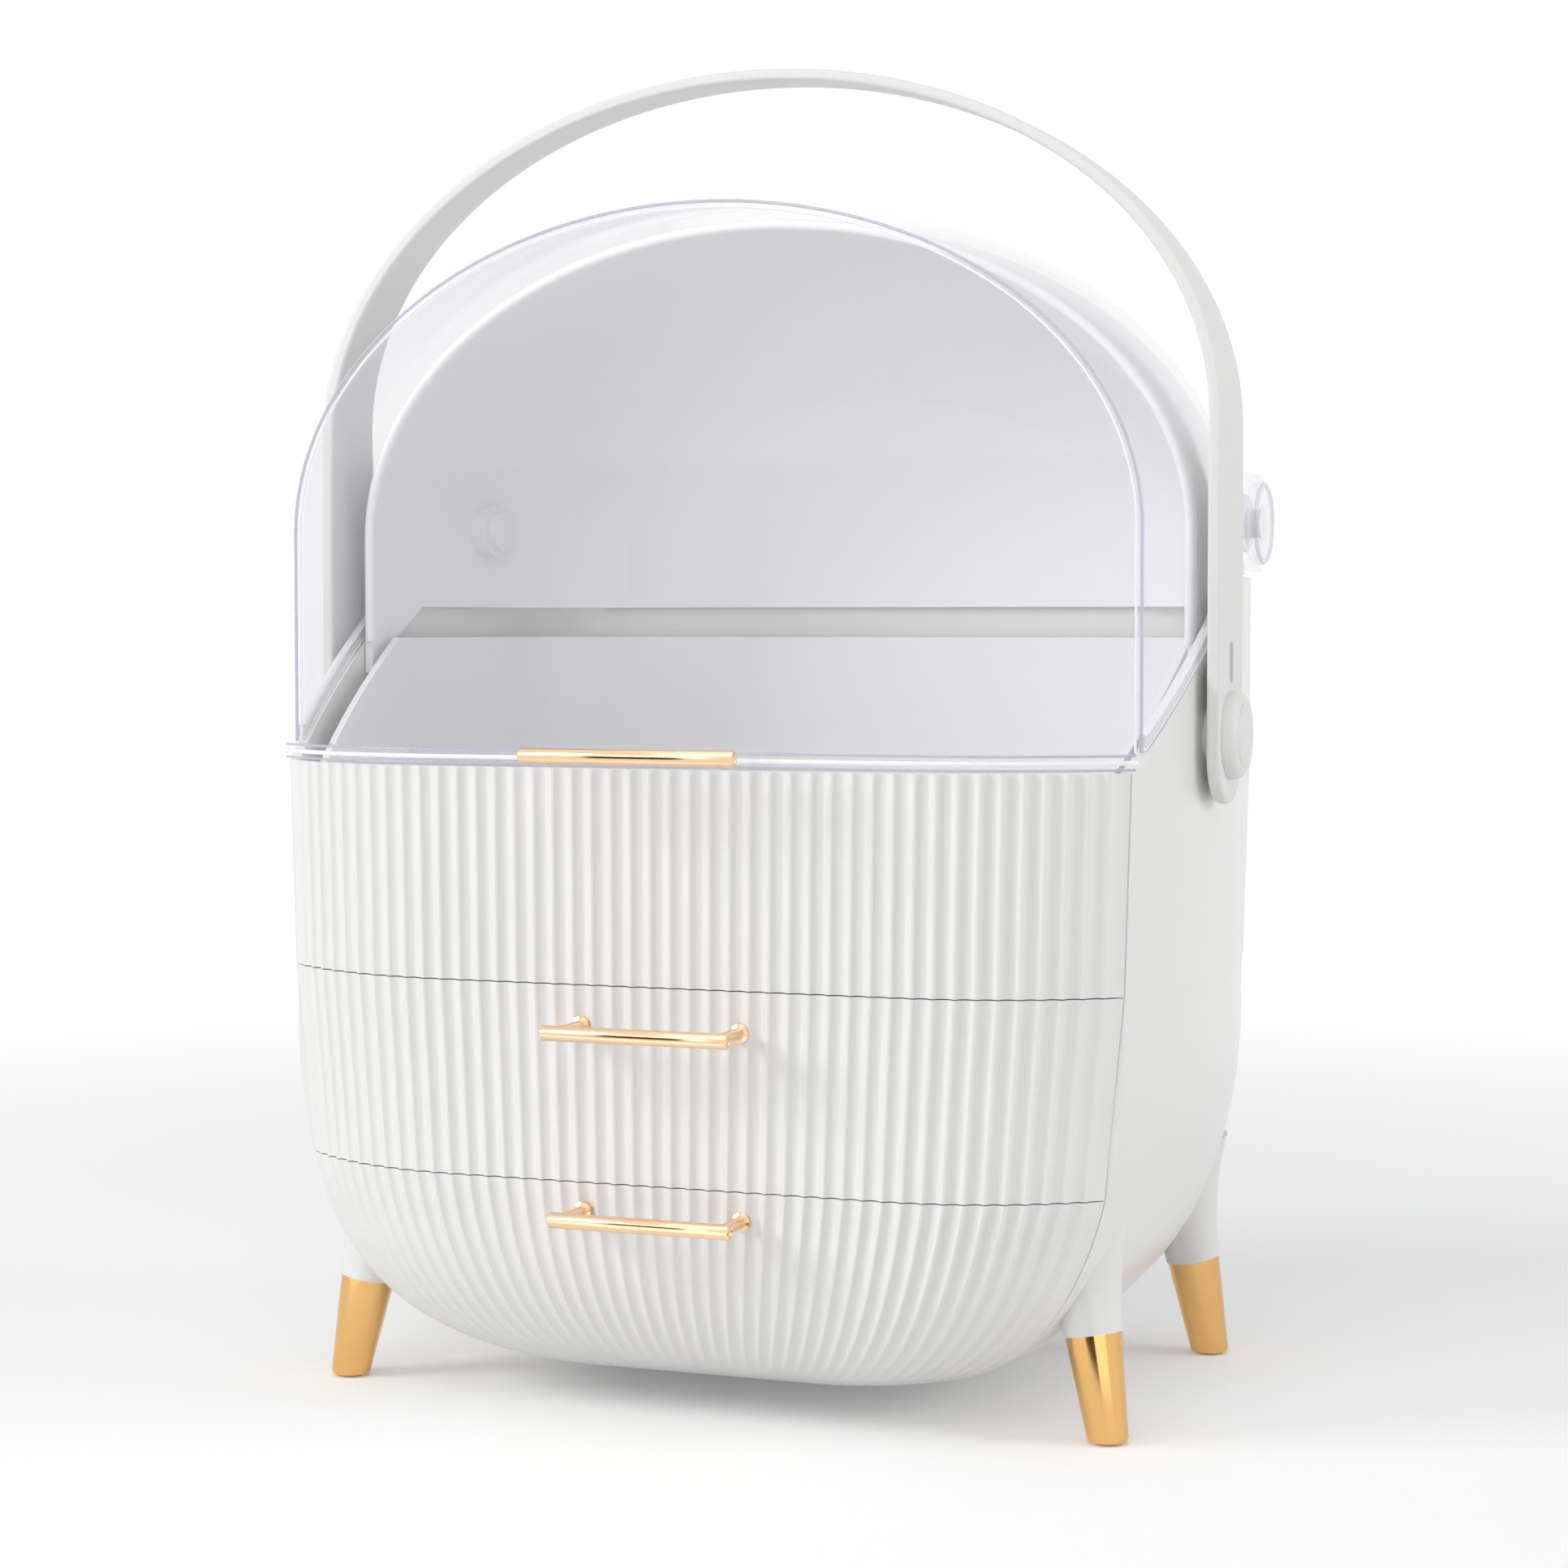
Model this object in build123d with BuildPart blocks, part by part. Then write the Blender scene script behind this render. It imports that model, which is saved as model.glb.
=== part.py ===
"""Portable makeup organizer: a ribbed egg-shaped case on four splayed feet, with two drawers,
a deep tray under a clear flip-up lid, a fixed hood behind it and a folding carry handle.

Millimetres, +X to the right, +Y to the back, +Z up. The origin is on the floor, under the
middle of the overall width and depth.
"""
import os
from math import radians, tan

from build123d import *

os.makedirs("parts", exist_ok=True)

# Body
body_width = 251.0
body_depth = 172.0
body_bottom = 7.0
body_top = 172.0
shoulder_z = 116.0
front_full_z = 100.0
shoulder_taper = 0.987
crease_inset = 7.3
crease_setback = 21.3
front_flat_half = 63.0
back_corner_radius = 22.0
back_width_ratio = 0.903
wall = 3.0
seam_gap = 0.3
pull_reach = 23.0

# Seams between the fixed band and the drawers
upper_seam_z = 116.1
lower_seam_z = 64.8
seam_line = 0.3

# Ribs of the front
rib_count = 45
rib_relief = 1.3
crest_share = 0.28
rib_side_fade = 2.5
rib_fade_low_z = 10.0
rib_fade_high_z = 24.0
lower_front_start_z = 8.0
front_wall = 3.4

# Shelves, tray and runners
shelf_thickness = 2.0
fit_gap = 0.3
ledge_thickness = 3.0
ledge_width = 10.0
tray_wall = 2.0
tray_inset = 6.0
tray_front_z = 168.0
tray_back_z = 205.0
runner_width = 7.0
runner_height = 3.0

# Hood
hood_inset = 3.4
hood_wall = 2.2
hood_front_setback = 72.0
hood_skirt = 8.0
arch_spring_z = 233.0
arch_height = 86.0
arch_rise = 6.0

# Lid
lid_wall = 2.2
lid_panel_setback = 26.2
lid_panel_thickness = 2.2
lid_back_setback = 104.0
lid_edge_gap = 0.5
lid_edge_slope = 31.4
lid_flange_thickness = 4.2
lid_flange_overhang = 1.6
lid_pivot_from_back = 34.8
lid_pivot_z = 237.0
lid_ear_radius = 13.5
lid_ear_thickness = 2.9
lid_flange_round = 1.2
lid_cap_radius = 11.6
lid_cap_thickness = 1.8
lid_pin_radius = 4.0
lid_pin_overrun = 1.0
lid_pin_head_radius = 6.0
lid_pin_head_thickness = 2.0
lid_boss_radius = 8.0
lid_boss_depth = 4.5
rim_back_z = 222.0

# Carry handle
handle_pivot_setback = 75.2
handle_pivot_z = 180.0
handle_crown_rise = 34.0
handle_side_gap = 1.5
handle_arm_thickness = 3.6
handle_top_thickness = 3.0
handle_arm_width = 26.0
handle_top_width = 15.0
handle_straight_rise = 29.0
handle_taper_length = 27.0
handle_edge_round = 0.9
handle_slot_width = 4.0
handle_slot_length = 11.0
handle_slot_depth = 1.2
handle_slot_rise = 19.0
handle_end_below = 18.0
handle_cap_radius = 11.6
handle_cap_thickness = 4.5
handle_pin_radius = 5.0
handle_pin_overrun = 2.2
handle_collar_radius = 8.0
handle_flange_radius = 11.0
handle_flange_thickness = 2.0
handle_gap = 0.4
pin_clearance = 0.05
handle_cap_round = 2.6
lid_cap_round = 1.2

# Pulls
pull_radius = 2.0
pull_end_round = 0.5
pull_post_radius = 1.6
pull_post_inset = 2.8
screw_radius = 1.2
screw_head_radius = 3.0
screw_head_thickness = 1.6
screw_engagement = 5.0
middle_pull_length = 51.0
middle_pull_z = 105.5
middle_pull_reach = 16.3
lower_pull_length = 49.6
lower_pull_z = 57.3
lower_pull_reach = 14.4
lid_pull_length = 58.0
lid_pull_z = 175.9
lid_post_radius = 1.0
lid_post_depth = 6.0
lid_tab_width = 56.0
lid_tab_thickness = 3.2

# Drawers
drawer_wall = 2.0
middle_bin_side_gap = 20.5
middle_bin_height = 45.0
middle_bin_back_gap = 8.0
lower_bin_side_gap = 29.5
lower_bin_flank_step = 9.0
lower_bin_floor_step = 28.0
lower_bin_floor_z = 21.0
lower_bin_flank_z = 31.0
lower_bin_wall_z = 46.0
lower_bin_flange_z = 59.9
lower_bin_flange_thickness = 1.6
lower_bin_flange_width = 7.5
lower_bin_back_gap = 21.0

# Feet
foot_inset_x = 16.5
foot_inset_y = 30.0
foot_centre_shift = 6.2
foot_splay_x = 9.7
foot_splay_y = 4.5
foot_tip_length = 28.0
foot_tip_top_radius = 7.4
foot_tip_end_radius = 5.2
foot_end_round = 2.2
foot_socket_end_radius = 7.7
foot_socket_neck_radius = 9.0
foot_socket_top_radius = 16.0
foot_socket_neck_length = 12.0
foot_socket_length = 34.0
foot_pad_thickness = 0.8
foot_pad_radius = 3.6
foot_stud_radius = 2.0
foot_stud_length = 16.0

# Places worked out from the sizes above
face_y = pull_reach - (body_depth + pull_reach) / 2
back_y = face_y + body_depth
middle_y = (face_y + back_y) / 2
half_depth = body_depth / 2
crease_reach = half_depth - crease_setback
crease_half_width = body_width / 2 - crease_inset
lid_pivot_y = back_y - lid_pivot_from_back
handle_pivot_y = face_y + handle_pivot_setback
side_radius = 290.0
foot_spread_x = body_width / 2 - foot_inset_x
foot_spread_y = half_depth - foot_inset_y
feet_y = middle_y + foot_centre_shift
lid_edge_start_y = face_y + crease_setback
arch_top_front = arch_spring_z + arch_height
arch_top_back = arch_top_front + arch_rise
handle_inner_x = body_width / 2 + handle_side_gap
handle_straight_z = arch_spring_z + handle_straight_rise
handle_taper_z = handle_straight_z - handle_taper_length
handle_top_z = arch_top_back + handle_crown_rise
pull_post_spacing = lower_pull_length - 2 * pull_post_inset
middle_bin_half_width = body_width / 2 - middle_bin_side_gap
lower_bin_half_width = body_width / 2 - lower_bin_side_gap
lower_bin_flank_half_width = lower_bin_half_width - lower_bin_flank_step
lower_bin_floor_half_width = lower_bin_half_width - lower_bin_floor_step
belly_levels = [9.5, 14.0, 21.0, 32.0, 48.0, 70.0, 93.0]
front_levels = [10.5, 15.0, 22.0, 32.0, 46.0]


def width_factor(z):
    """Share of the full width that the body has at height z."""
    if z >= body_top:
        return 1.0
    if z >= shoulder_z:
        return 1.0 - (1.0 - shoulder_taper) * (body_top - z) / (body_top - shoulder_z)
    fall = (shoulder_z - z) / (shoulder_z - body_bottom + 0.5)
    return shoulder_taper * (1.0 - fall**2.5) ** 0.26


def depth_factor(z):
    """Share of the full depth that the body has at height z."""
    if z >= front_full_z:
        return 1.0
    fall = (front_full_z - z) / (front_full_z - body_bottom + 0.5)
    return (1.0 - fall**4) ** 0.23


def crease_y(z):
    """Where the ribbed front meets the smooth side at height z."""
    return middle_y - crease_reach * depth_factor(z)


def front_y(z):
    """The front face at height z."""
    return middle_y - half_depth * depth_factor(z)


def side_half_width(y):
    """Half width of the body's upper part at a given depth."""
    return body_width / 2 - (y - middle_y) ** 2 / (2 * side_radius)


lid_ear_inner_x = side_half_width(lid_pivot_y)


def front_half(z, inset):
    """Right half of the front line at height z: a flat, then one arc to the crease."""
    flat = front_flat_half * width_factor(z)
    corner = (crease_half_width * width_factor(z) - inset, crease_y(z))
    start = (flat, front_y(z) + inset)
    line = Line((0, start[1]), start)
    arc = TangentArc(start, corner, tangent=(1, 0))
    return line, arc


def body_section(z, inset=0.0):
    """Smooth horizontal section of the body at height z, drawn in by inset."""
    wide = width_factor(z)
    deep = depth_factor(z)
    back = middle_y + half_depth * deep - inset
    crease = (crease_half_width * wide - inset, crease_y(z))
    widest = (body_width / 2 * wide - inset, middle_y)
    rear = (body_width / 2 * back_width_ratio * wide - inset, back)
    with BuildSketch(Plane.XY.offset(z)) as section:
        with BuildLine():
            front_half(z, inset)
            ThreePointArc(crease, widest, rear)
            Line(rear, (0, back))
            mirror(about=Plane.YZ)
        make_face()
        corners = section.vertices().group_by(Axis.Y)[-1].filter_by(lambda v: abs(v.X) > 1)
        fillet(corners, back_corner_radius * min(wide, deep) * 0.9)
    return section.sketch


def body_solid(low, high, inset=0.0):
    """Smooth solid of the body between two heights, drawn in by inset."""
    with BuildPart() as solid:
        if low < shoulder_z:
            top = min(high, shoulder_z)
            levels = [low] + [z for z in belly_levels if low + 1 < z < top - 1] + [top]
            loft([body_section(z, inset).face() for z in levels])
        if high > shoulder_z:
            start = max(low, shoulder_z)
            levels = [start] + [z for z in (body_top,) if start < z < high] + [high]
            loft([body_section(z, inset).face() for z in levels], ruled=True)
    return solid.part


def ribbed_section(z):
    """Section of the ribbed front at height z, closed along the crease.

    Hollow flutes run between narrow rounded crests, and the outermost ones are shallower.
    """
    fade = min(1.0, max(0.06, (z - rib_fade_low_z) / (rib_fade_high_z - rib_fade_low_z)))
    relief = rib_relief * fade * width_factor(z)
    line, arc = front_half(z, relief * crest_share)
    half = Wire([line.edge(), arc.edge()])
    joints = [0.0]
    for n in range(1, rib_count):
        joints += [(n - crest_share / 2) / rib_count, (n + crest_share / 2) / rib_count]
    joints.append(1.0)
    points = []
    for joint in joints:
        share = 2.0 * joint - 1.0
        point = half @ abs(share)
        points.append(Vector(point.X if share > 0 else -point.X, point.Y))
    last = len(points) - 2
    with BuildSketch(Plane.XY.offset(z)) as section:
        with BuildLine():
            for n, (left, right) in enumerate(zip(points[:-1], points[1:])):
                chord = right - left
                outward = Vector(chord.Y, -chord.X).normalized()
                ease = min(1.0, (min(n, last - n) / 2 + 1.0) / rib_side_fade)
                bow = crest_share if n % 2 else crest_share - 1.0
                ThreePointArc(left, (left + right) / 2 + outward * (relief * ease * bow), right)
            Line(points[-1], points[0])
        make_face()
    return section.sketch


def across(profile_width):
    """Plane of a side view, so that an extrusion to both sides spans the given width."""
    return Plane.YZ.offset(-profile_width / 2)


def rim_height(y):
    """Height of the case's side rim at a given depth: a slope, then a level back part."""
    slope = (y - lid_edge_start_y) * tan(radians(lid_edge_slope))
    return min(rim_back_z, body_top + max(0.0, slope))


rim_bend_y = lid_edge_start_y + (rim_back_z - body_top) / tan(radians(lid_edge_slope))
span = 2 * body_width
tall = 2 * handle_top_z


def above_rim(shift):
    """Everything above the rim line moved up by shift, as a solid across the whole width."""
    with BuildPart() as space:
        with BuildSketch(across(span)):
            with BuildLine():
                Polyline(
                    (face_y - span, body_top + shift),
                    (lid_edge_start_y, body_top + shift),
                    (rim_bend_y, rim_back_z + shift),
                    (back_y + span, rim_back_z + shift),
                    (back_y + span, tall),
                    (face_y - span, tall),
                    close=True,
                )
            make_face()
        extrude(amount=span)
    return space.part


def ahead_of_crease(gap):
    """Everything ahead of the line where the ribbed front ends, as a solid across the width."""
    low = lower_front_start_z - 1.0
    heights = [low, lower_front_start_z, *front_levels, lower_seam_z, (lower_seam_z + front_full_z) / 2, front_full_z]
    with BuildPart() as space:
        with BuildSketch(across(span)):
            with BuildLine():
                Spline([(crease_y(z) + gap, z) for z in heights])
                Polyline(
                    (crease_y(front_full_z) + gap, front_full_z),
                    (crease_y(front_full_z) + gap, tall),
                    (face_y - span, tall),
                    (face_y - span, -body_top),
                    (crease_y(low) + gap, -body_top),
                    (crease_y(low) + gap, low),
                )
            make_face()
        extrude(amount=span)
    return space.part


def foot_plane(side, end):
    """Plane at the bottom of a foot, with its normal up along the leg."""
    lean = Vector(-side * tan(radians(foot_splay_x)), -end * tan(radians(foot_splay_y)), 1.0)
    return Plane(origin=(side * foot_spread_x, feet_y + end * foot_spread_y, 0), z_dir=lean)


foot_names = {
    "front_left": (-1, -1),
    "front_right": (1, -1),
    "back_left": (-1, 1),
    "back_right": (1, 1),
}
side_names = {"left": -1, "right": 1}


def side_plane(side, reach, y, z):
    """Plane on one side of the body, facing outwards along X."""
    return Plane(origin=(side * reach, y, z), x_dir=(0, 1, 0), z_dir=(side, 0, 0))


def finish(builder, name):
    """Label a finished piece and write its STEP file."""
    builder.part.label = name
    export_step(builder.part, f"parts/{name}.step")


# Case
case_cavity = body_solid(body_bottom + wall, rim_back_z + 20, wall)
with BuildPart() as case_shell:
    add(body_solid(body_bottom, rim_back_z + 10))
    for side, end in foot_names.values():
        with BuildSketch(foot_plane(side, end).offset(foot_tip_length)):
            Circle(foot_socket_end_radius)
        with BuildSketch(foot_plane(side, end).offset(foot_tip_length + foot_socket_neck_length)):
            Circle(foot_socket_neck_radius)
        with BuildSketch(foot_plane(side, end).offset(foot_tip_length + foot_socket_length)):
            Circle(foot_socket_top_radius)
        loft()
    add(case_cavity, mode=Mode.SUBTRACT)
    add(above_rim(0.0), mode=Mode.SUBTRACT)
    add(ahead_of_crease(seam_gap), mode=Mode.SUBTRACT)
    for side, end in foot_names.values():
        with BuildSketch(foot_plane(side, end).offset(foot_tip_length)):
            Circle(foot_stud_radius + pin_clearance)
        extrude(amount=foot_stud_length / 2 + fit_gap, mode=Mode.SUBTRACT)
    for side in side_names.values():
        with BuildSketch(side_plane(side, body_width / 2 - 3 * wall, handle_pivot_y, handle_pivot_z)):
            Circle(handle_collar_radius + pin_clearance)
        extrude(amount=4 * wall, mode=Mode.SUBTRACT)
finish(case_shell, "case_shell")

for name, side in side_names.items():
    with BuildPart() as handle_pin:
        reach = side_half_width(handle_pivot_y) - wall - 3 * fit_gap - handle_flange_thickness
        with BuildSketch(side_plane(side, reach, handle_pivot_y, handle_pivot_z)):
            Circle(handle_flange_radius)
        extrude(amount=handle_flange_thickness)
        collar = handle_inner_x - handle_gap - reach - handle_flange_thickness
        with BuildSketch(side_plane(side, reach + handle_flange_thickness, handle_pivot_y, handle_pivot_z)):
            Circle(handle_collar_radius)
        extrude(amount=collar)
        with BuildSketch(side_plane(side, handle_inner_x - handle_gap, handle_pivot_y, handle_pivot_z)):
            Circle(handle_pin_radius)
        extrude(amount=handle_gap + handle_arm_thickness + handle_pin_overrun)
    finish(handle_pin, f"handle_pin_{name}")

with BuildPart() as front_band:
    low = upper_seam_z + seam_line / 2
    loft([ribbed_section(low).face(), ribbed_section(body_top).face()], ruled=True)
    add(body_solid(low - 1, body_top + 1, front_wall), mode=Mode.SUBTRACT)
finish(front_band, "front_band")


def shelf(top):
    """A flat shelf across the body, just inside its walls, whose top face is at the given height."""
    low = top - shelf_thickness
    with BuildPart() as plate:
        extrude(body_section(low, front_wall + 2 * fit_gap).face(), amount=shelf_thickness)
    return plate


upper_shelf_top = upper_seam_z + seam_line / 2 + shelf_thickness
middle_shelf_top = lower_seam_z + seam_line / 2 + shelf_thickness
upper_shelf = shelf(upper_shelf_top)
finish(upper_shelf, "upper_shelf")
middle_shelf = shelf(middle_shelf_top)
finish(middle_shelf, "middle_shelf")


def side_strips(inner_x, outer_x, low, high, front, back):
    """Two straight strips along the case's side walls, trimmed to the inside of the walls."""
    with BuildPart() as strips:
        for side in side_names.values():
            with BuildSketch(Plane.XY.offset(low)):
                with Locations((side * (inner_x + outer_x) / 2, (front + back) / 2)):
                    Rectangle(outer_x - inner_x, back - front)
            extrude(amount=high - low)
        add(body_solid(low - 2, high + 2, wall + fit_gap), mode=Mode.INTERSECT)
    return strips


strip_front_y = crease_y(front_full_z) + ledge_width
strip_back_y = back_y - back_corner_radius
ledge_inner_x = body_width / 2 - wall - ledge_width - ledge_thickness
upper_ledges = side_strips(
    ledge_inner_x,
    body_width / 2,
    upper_shelf_top - shelf_thickness - fit_gap - ledge_thickness,
    upper_shelf_top - shelf_thickness - fit_gap,
    strip_front_y,
    strip_back_y,
)
finish(upper_ledges, "upper_ledges")
flange_reach = lower_bin_half_width + lower_bin_flange_width
middle_ledges = side_strips(
    ledge_inner_x,
    body_width / 2,
    middle_shelf_top - shelf_thickness - fit_gap - ledge_thickness,
    middle_shelf_top - shelf_thickness - fit_gap,
    strip_front_y,
    strip_back_y,
)
finish(middle_ledges, "middle_ledges")
lower_runners = side_strips(
    lower_bin_half_width + 2 * fit_gap,
    body_width / 2,
    lower_bin_flange_z - fit_gap - runner_height,
    lower_bin_flange_z - fit_gap,
    strip_front_y,
    strip_back_y - ledge_width,
)
finish(lower_runners, "lower_runners")

# Tray behind the band
with BuildPart() as tray_liner:
    floor_z = upper_shelf_top + fit_gap
    extrude(body_section(floor_z, tray_inset).face(), amount=rim_back_z - floor_z)
    tray_inside = body_section(floor_z, tray_inset + tray_wall).face().moved(Location((0, 0, tray_wall)))
    extrude(tray_inside, amount=rim_back_z, mode=Mode.SUBTRACT)
    add(above_rim(tray_front_z - body_top), mode=Mode.SUBTRACT)
    with BuildSketch(Plane.XY.offset(tray_back_z)):
        Rectangle(span, span)
    extrude(amount=span, mode=Mode.SUBTRACT)
finish(tray_liner, "tray_liner")


# Hood and lid
def lid_top(y):
    """Height of the lid's crown at a given depth."""
    run = (y - lid_panel_y) / (lid_back_y - lid_panel_y)
    return arch_top_front + (arch_top_back - arch_top_front) * min(1.0, run)


def arch_section(y, half, top, low):
    """Upright arch at depth y: straight sides, then half an ellipse over the spring line."""
    with BuildSketch(Plane.XZ.offset(-y)) as arch:
        with BuildLine():
            Polyline((-half, arch_spring_z), (-half, low), (half, low), (half, arch_spring_z))
            EllipticalCenterArc((0, arch_spring_z), half, top - arch_spring_z, arc_size=180)
        make_face()
    return arch.sketch.face()


lid_panel_y = face_y + lid_panel_setback
lid_back_y = face_y + lid_back_setback
hood_front_y = face_y + hood_front_setback
hood_back_y = back_y - wall - 2 * fit_gap
hood_length = hood_back_y - hood_front_y
# Each hood station: share of its length, extra draw-in of the sides, drop of the crown
hood_stations = [
    (0.0, 0.0, 0.0),
    (0.28, 0.0, 0.0),
    (0.52, 0.0, 1.0),
    (0.70, 1.2, 4.5),
    (0.84, 5.5, 12.0),
    (0.94, 14.0, 25.0),
    (1.0, 28.0, 43.0),
]


def hood_solid(inset, length, low):
    """The hood's dome, drawn in by inset and of the given length, as a closed solid."""
    arches = []
    for share, draw_in, drop in hood_stations:
        y = hood_front_y + share * hood_length
        half = side_half_width(y) - hood_inset - draw_in - inset
        top = lid_top(y) - lid_wall - hood_inset / 2 - drop - inset
        arches.append(arch_section(hood_front_y + share * length, half, top, low))
    with BuildPart() as dome:
        loft(arches)
    return dome.part


hood_low = body_top - 2 * hood_skirt
lid_seat_x = side_half_width(lid_pivot_y) - hood_inset - hood_wall - lid_boss_depth
with BuildPart() as hood_hollow:
    add(hood_solid(hood_wall, hood_length - hood_wall, hood_low))
    with BuildSketch(Plane.XZ.offset(-hood_front_y)):
        with Locations((0, hood_low)):
            Rectangle(span, 2 * wall)
    extrude(amount=-hood_length)
with BuildPart() as below_skirt:
    with BuildSketch(Plane.XY):
        Rectangle(span, span)
    extrude(amount=tall)
    add(above_rim(-hood_skirt), mode=Mode.SUBTRACT)
with BuildPart() as back_hood:
    add(hood_solid(0.0, hood_length, hood_low))
    add(hood_hollow.part, mode=Mode.SUBTRACT)
    for side in side_names.values():
        with BuildSketch(side_plane(side, lid_seat_x, lid_pivot_y, lid_pivot_z)):
            Circle(lid_boss_radius)
        extrude(amount=lid_ear_inner_x - fit_gap - lid_seat_x)
        with BuildSketch(side_plane(side, lid_seat_x - hood_wall, lid_pivot_y, lid_pivot_z)):
            Circle(lid_pin_radius + pin_clearance)
        extrude(amount=body_width, mode=Mode.SUBTRACT)
    add(below_skirt.part, mode=Mode.SUBTRACT)
finish(back_hood, "back_hood")

for name, side in side_names.items():
    with BuildPart() as lid_pin:
        with BuildSketch(side_plane(side, lid_seat_x - lid_pin_head_thickness, lid_pivot_y, lid_pivot_z)):
            Circle(lid_pin_head_radius)
        extrude(amount=lid_pin_head_thickness)
        with BuildSketch(side_plane(side, lid_seat_x, lid_pivot_y, lid_pivot_z)):
            Circle(lid_pin_radius)
        extrude(amount=lid_ear_inner_x + lid_ear_thickness + lid_pin_overrun - lid_seat_x)
    finish(lid_pin, f"lid_pin_{name}")

shell_front_y = lid_panel_y + lid_panel_thickness
shell_end_y = lid_pivot_y - lid_ear_radius
shell_levels = [shell_front_y, (shell_front_y + lid_back_y) / 2, lid_back_y, shell_end_y]
with BuildPart() as lid_hollow:
    reach = [shell_front_y - 1] + shell_levels[1:-1] + [shell_end_y + 1]
    loft([arch_section(y, side_half_width(y) - lid_wall, lid_top(y) - lid_wall, body_top - 1) for y in reach])
with BuildPart() as lid_outline:
    with BuildSketch(across(span)):
        with BuildLine():
            Polyline(
                (shell_front_y, rim_height(shell_front_y) + lid_edge_gap),
                (rim_bend_y, rim_back_z + lid_edge_gap),
                (shell_end_y, lid_pivot_z - lid_ear_radius),
                (shell_end_y, lid_pivot_z + lid_ear_radius),
                (lid_back_y, lid_pivot_z + 2 * lid_ear_radius),
                (lid_back_y, tall),
                (shell_front_y, tall),
                close=True,
            )
        make_face()
    extrude(amount=span)
with BuildPart() as lid_shell:
    loft([arch_section(y, side_half_width(y), lid_top(y), body_top) for y in shell_levels])
    add(lid_hollow.part, mode=Mode.SUBTRACT)
    add(lid_outline.part, mode=Mode.INTERSECT)
    for side in side_names.values():
        with BuildSketch(side_plane(side, lid_ear_inner_x, lid_pivot_y, lid_pivot_z)):
            Circle(lid_ear_radius)
            with Locations((-lid_ear_radius / 2 - lid_wall / 2, 0)):
                Rectangle(lid_ear_radius + lid_wall, 2 * lid_ear_radius)
        extrude(amount=lid_ear_thickness)
        with BuildSketch(side_plane(side, lid_ear_inner_x - lid_wall, lid_pivot_y, lid_pivot_z)):
            Circle(lid_pin_radius + pin_clearance)
        extrude(amount=4 * lid_wall, mode=Mode.SUBTRACT)
finish(lid_shell, "lid_shell")

lid_bar_y = face_y + pull_radius - pull_reach
lid_flange_low = body_top + lid_edge_gap
lid_flange_front_y = face_y - lid_flange_overhang
post_xs = (-pull_post_spacing / 2, pull_post_spacing / 2)
with BuildPart() as lid_flange:
    rim = body_section(body_top, -lid_flange_overhang).face().moved(Location((0, 0, lid_edge_gap)))
    extrude(rim, amount=lid_flange_thickness)
    fillet(lid_flange.edges().filter_by(Plane.XY), lid_flange_round)
    with BuildSketch(Plane.XY.offset(body_top)):
        with Locations((0, lid_panel_y + lid_panel_thickness)):
            Rectangle(span, span, align=(Align.CENTER, Align.MIN))
    extrude(amount=body_top, mode=Mode.SUBTRACT)
with BuildPart() as lid_front_panel:
    panel = arch_section(lid_panel_y, side_half_width(lid_panel_y), lid_top(lid_panel_y), lid_flange_low)
    extrude(panel, amount=lid_panel_thickness, dir=(0, 1, 0))
    add(lid_flange.part)
    add(above_rim(lid_edge_gap), mode=Mode.INTERSECT)
    tab_low = lid_pull_z - lid_tab_thickness / 2
    with BuildSketch(Plane.XY.offset(tab_low)):
        with Locations((0, lid_bar_y + pull_radius)):
            Rectangle(lid_tab_width, lid_flange_front_y - lid_bar_y, align=(Align.CENTER, Align.MIN))
    extrude(amount=lid_tab_thickness)
    with BuildSketch(Plane.XZ.offset(-lid_bar_y)):
        with Locations(*[(x, lid_pull_z) for x in post_xs]):
            Circle(lid_post_radius + pin_clearance)
    extrude(amount=-(pull_radius + lid_post_depth + fit_gap), mode=Mode.SUBTRACT)
finish(lid_front_panel, "lid_front_panel")


def bar_pull(length, bar_y, z, post_radius, post_end_y):
    """A straight round bar across the front with two short posts running back from it."""
    with BuildPart() as pull:
        with BuildSketch(Plane.YZ.offset(-length / 2)):
            with Locations((bar_y, z)):
                Circle(pull_radius)
        extrude(amount=length)
        fillet(pull.edges().filter_by(GeomType.CIRCLE), pull_end_round)
        with BuildSketch(Plane.XZ.offset(-bar_y)):
            with Locations(*[(x, z) for x in post_xs]):
                Circle(post_radius)
        extrude(amount=-(post_end_y - bar_y))
    return pull


lid_pull = bar_pull(lid_pull_length, lid_bar_y, lid_pull_z, lid_post_radius, lid_bar_y + pull_radius + lid_post_depth)
finish(lid_pull, "lid_pull")


def domed_cap(side, reach, y, z, radius, thickness, edge_round, bore_radius, bore_depth):
    """Round cap with a softened edge and a blind bore for the end of a pivot pin."""
    with BuildPart() as cap:
        with BuildSketch(side_plane(side, reach, y, z)):
            Circle(radius)
        extrude(amount=thickness)
        rim = cap.edges().filter_by(GeomType.CIRCLE).sort_by(lambda edge: abs(edge.center().X))[-1]
        fillet(rim, edge_round)
        with BuildSketch(side_plane(side, reach, y, z)):
            Circle(bore_radius)
        extrude(amount=bore_depth, mode=Mode.SUBTRACT)
    return cap


for name, side in side_names.items():
    lid_cap = domed_cap(
        side,
        lid_ear_inner_x + lid_ear_thickness,
        lid_pivot_y,
        lid_pivot_z,
        lid_cap_radius,
        lid_cap_thickness,
        lid_cap_round,
        lid_pin_radius + fit_gap,
        lid_pin_overrun + fit_gap / 2,
    )
    finish(lid_cap, f"lid_cap_{name}")

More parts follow.
